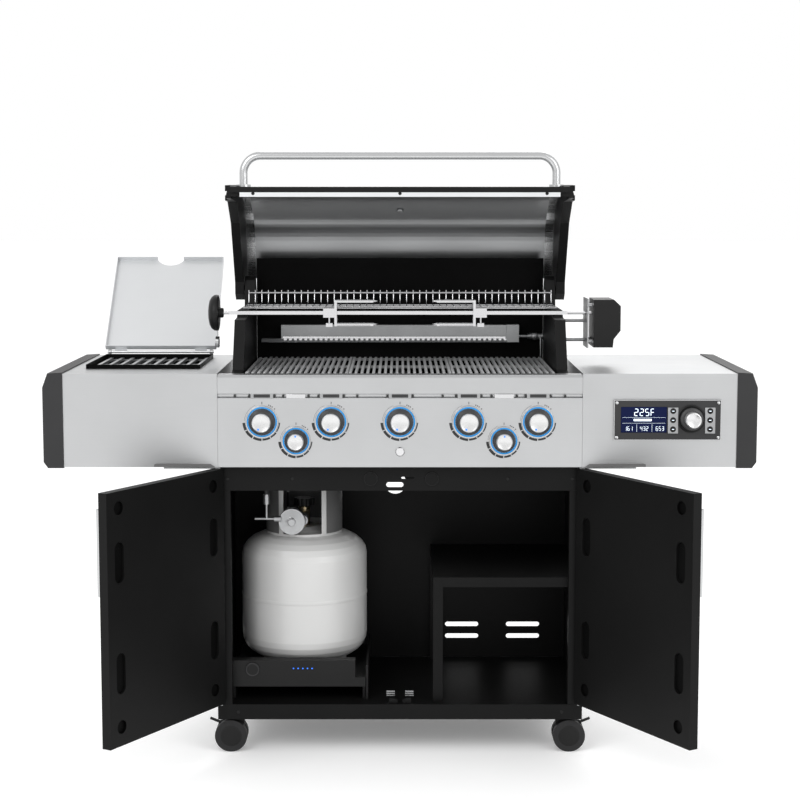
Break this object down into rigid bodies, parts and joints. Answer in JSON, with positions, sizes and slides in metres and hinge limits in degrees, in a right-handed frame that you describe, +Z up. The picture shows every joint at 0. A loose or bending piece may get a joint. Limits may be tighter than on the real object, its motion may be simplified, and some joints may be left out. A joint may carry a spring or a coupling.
{
  "type": "gas barbecue grill",
  "caption": "Free-standing gas grill on a two-door cabinet with casters: hinged lid over cast ends, burner knobs, rotisserie spit and motor, side burner, gas cylinder and side shelves.",
  "frame": {"origin": "on the floor, midway between the two sides and midway between the open doors' front edges and the open side lid's back edge", "axes": "+Z up, the control panel faces -Y, +X to the right as seen by the cook"},
  "size_m": [1.64, 1.035, 1.4085],
  "materials": {
    "black_steel": "satin black powder coat",
    "hardware": "zinc-plated",
    "stainless": "brushed stainless steel",
    "caster_plastic": "moulded black plastic",
    "caster_tread": "grey-black tread",
    "black_plastic": "fine-textured moulded plastic",
    "tank_paint": "semi-gloss light paint",
    "brass": "machined brass",
    "zinc": "plated pressed steel",
    "hose": "ribbed rubber hose",
    "knob_metal": "satin chrome face with a dark skirt",
    "cast_black": "black painted casting",
    "cap_paint": "dark grey textured moulding",
    "grate": "dull cast bars",
    "wire": "chromed steel rod",
    "switch_red": "red rocker"
  },
  "bodies": {
    "cart": {"base_frame": "black_steel", "side_panels": "black_steel", "back_panel": "black_steel", "front_rail": "black_steel", "inner_shelf": "black_steel", "hinge_pins": "hardware", "tank_scale": "black_plastic", "tank_body": "tank_paint", "tank_valve": "brass", "regulator": "zinc", "gas_hoses": "hose", "control_panel": "stainless", "firebox_shell": "black_steel", "firebox_sides": "cast_black", "cooking_grates": "grate", "heat_shields": "zinc", "burners": "zinc", "warming_rack": "wire", "rear_burner": "zinc", "motor_housing": "black_plastic", "motor_bracket": "zinc", "side_shelf_left": "stainless", "side_shelf_right": "stainless", "shelf_caps": "cap_paint", "side_burner": "stainless", "controller": "black_plastic"},
    "left_door": {"door_left": "black_steel", "door_handle_left": "stainless"},
    "right_door": {"door_right": "black_steel", "door_handle_right": "stainless"},
    "lid": {"lid_shell": "stainless", "lid_liner": "stainless", "lid_caps": "cast_black", "lid_handle": "stainless", "thermometer": "stainless"},
    "side_burner_lid": {"side_lid": "stainless"},
    "spit": {"spit_rod": "wire", "spit_forks": "wire", "spit_handle": "black_plastic"},
    "drip_drawer": {"drip_tray": "zinc"},
    "cylinder_wheel": {"tank_handwheel": "black_plastic"},
    "power_switch": {"motor_switch": "switch_red"},
    "dial": {"control_dial": "knob_metal"},
    "caster_fl": {"fork_fl": "caster_plastic"},
    "roller_fl": {"wheel_fl": "caster_tread"},
    "caster_fr": {"fork_fr": "caster_plastic"},
    "roller_fr": {"wheel_fr": "caster_tread"},
    "caster_bl": {"fork_bl": "caster_plastic"},
    "roller_bl": {"wheel_bl": "caster_tread"},
    "caster_br": {"fork_br": "caster_plastic"},
    "roller_br": {"wheel_br": "caster_tread"},
    "brake_lever_left": {"brake_left": "caster_plastic"},
    "brake_lever_right": {"brake_right": "caster_plastic"},
    "burner_knob_1": {"knob_1": "knob_metal"},
    "burner_knob_2": {"knob_2": "knob_metal"},
    "burner_knob_3": {"knob_3": "knob_metal"},
    "burner_knob_4": {"knob_4": "knob_metal"},
    "burner_knob_5": {"knob_5": "knob_metal"},
    "aux_knob_1": {"small_knob_1": "knob_metal"},
    "aux_knob_2": {"small_knob_2": "knob_metal"}
  },
  "joints": [
    {"name": "left_door_hinge", "type": "hinge", "parent": "cart", "child": "left_door", "pos_m": [-0.421, -0.1517, 0.4], "axis": [0, 0, 1], "range_deg": [0, 120]},
    {"name": "right_door_hinge", "type": "hinge", "parent": "cart", "child": "right_door", "pos_m": [0.421, -0.1517, 0.4], "axis": [0, 0, -1], "range_deg": [0, 120]},
    {"name": "lid_hinge", "type": "hinge", "parent": "cart", "child": "lid", "pos_m": [0, 0.2973, 1.075], "axis": [1, 0, 0], "range_deg": [0, 54]},
    {"name": "side_lid_hinge", "type": "hinge", "parent": "cart", "child": "side_burner_lid", "pos_m": [-0.6065, 0.2823, 0.914], "axis": [1, 0, 0], "range_deg": [0, 136]},
    {"name": "spit_turn", "type": "hinge", "parent": "cart", "child": "spit", "pos_m": [0, 0.0523, 1.027], "axis": [1, 0, 0], "continuous": true},
    {"name": "drip_drawer_slide", "type": "slide", "parent": "cart", "child": "drip_drawer", "axis": [0, 1, 0], "range_m": [0, 0.25]},
    {"name": "cylinder_wheel_turn", "type": "hinge", "parent": "cart", "child": "cylinder_wheel", "pos_m": [-0.234, 0.0773, 0.565], "axis": [0, 0, 1], "range_deg": [0, 720]},
    {"name": "power_switch_press", "type": "slide", "parent": "cart", "child": "power_switch", "axis": [-1, 0, 0], "range_m": [0, 0.0015], "stiffness_N_per_m": 300},
    {"name": "dial_turn", "type": "hinge", "parent": "cart", "child": "dial", "pos_m": [0.668, -0.1727, 0.797], "axis": [0, -1, 0], "continuous": true},
    {"name": "swivel_fl", "type": "hinge", "parent": "cart", "child": "caster_fl", "pos_m": [-0.377, -0.1047, 0.09], "axis": [0, 0, 1], "continuous": true},
    {"name": "roll_fl", "type": "hinge", "parent": "caster_fl", "child": "roller_fl", "pos_m": [-0.399, -0.1047, 0.038], "axis": [0, 1, 0], "continuous": true},
    {"name": "swivel_fr", "type": "hinge", "parent": "cart", "child": "caster_fr", "pos_m": [0.377, -0.1047, 0.09], "axis": [0, 0, 1], "continuous": true},
    {"name": "roll_fr", "type": "hinge", "parent": "caster_fr", "child": "roller_fr", "pos_m": [0.399, -0.1047, 0.038], "axis": [0, 1, 0], "continuous": true},
    {"name": "swivel_bl", "type": "hinge", "parent": "cart", "child": "caster_bl", "pos_m": [-0.377, 0.2673, 0.09], "axis": [0, 0, 1], "continuous": true},
    {"name": "roll_bl", "type": "hinge", "parent": "caster_bl", "child": "roller_bl", "pos_m": [-0.399, 0.2673, 0.038], "axis": [0, 1, 0], "continuous": true},
    {"name": "swivel_br", "type": "hinge", "parent": "cart", "child": "caster_br", "pos_m": [0.377, 0.2673, 0.09], "axis": [0, 0, 1], "continuous": true},
    {"name": "roll_br", "type": "hinge", "parent": "caster_br", "child": "roller_br", "pos_m": [0.399, 0.2673, 0.038], "axis": [0, 1, 0], "continuous": true},
    {"name": "brake_press_left", "type": "hinge", "parent": "caster_fl", "child": "brake_lever_left", "pos_m": [-0.426, -0.1047, 0.065], "axis": [0, 1, 0], "range_deg": [-15, 0]},
    {"name": "brake_press_right", "type": "hinge", "parent": "caster_fr", "child": "brake_lever_right", "pos_m": [0.426, -0.1047, 0.065], "axis": [0, 1, 0], "range_deg": [0, 15]},
    {"name": "burner_knob_1_turn", "type": "hinge", "parent": "cart", "child": "burner_knob_1", "pos_m": [-0.317, -0.1777, 0.789], "axis": [0, -1, 0], "range_deg": [-155, 60]},
    {"name": "burner_knob_2_turn", "type": "hinge", "parent": "cart", "child": "burner_knob_2", "pos_m": [-0.158, -0.1777, 0.789], "axis": [0, -1, 0], "range_deg": [-155, 60]},
    {"name": "burner_knob_3_turn", "type": "hinge", "parent": "cart", "child": "burner_knob_3", "pos_m": [0, -0.1777, 0.789], "axis": [0, -1, 0], "range_deg": [-155, 60]},
    {"name": "burner_knob_4_turn", "type": "hinge", "parent": "cart", "child": "burner_knob_4", "pos_m": [0.158, -0.1777, 0.789], "axis": [0, -1, 0], "range_deg": [-155, 60]},
    {"name": "burner_knob_5_turn", "type": "hinge", "parent": "cart", "child": "burner_knob_5", "pos_m": [0.317, -0.1777, 0.789], "axis": [0, -1, 0], "range_deg": [-155, 60]},
    {"name": "aux_knob_1_turn", "type": "hinge", "parent": "cart", "child": "aux_knob_1", "pos_m": [-0.239, -0.1777, 0.745], "axis": [0, -1, 0], "range_deg": [0, 215]},
    {"name": "aux_knob_2_turn", "type": "hinge", "parent": "cart", "child": "aux_knob_2", "pos_m": [0.239, -0.1777, 0.745], "axis": [0, -1, 0], "range_deg": [0, 215]}
  ]
}
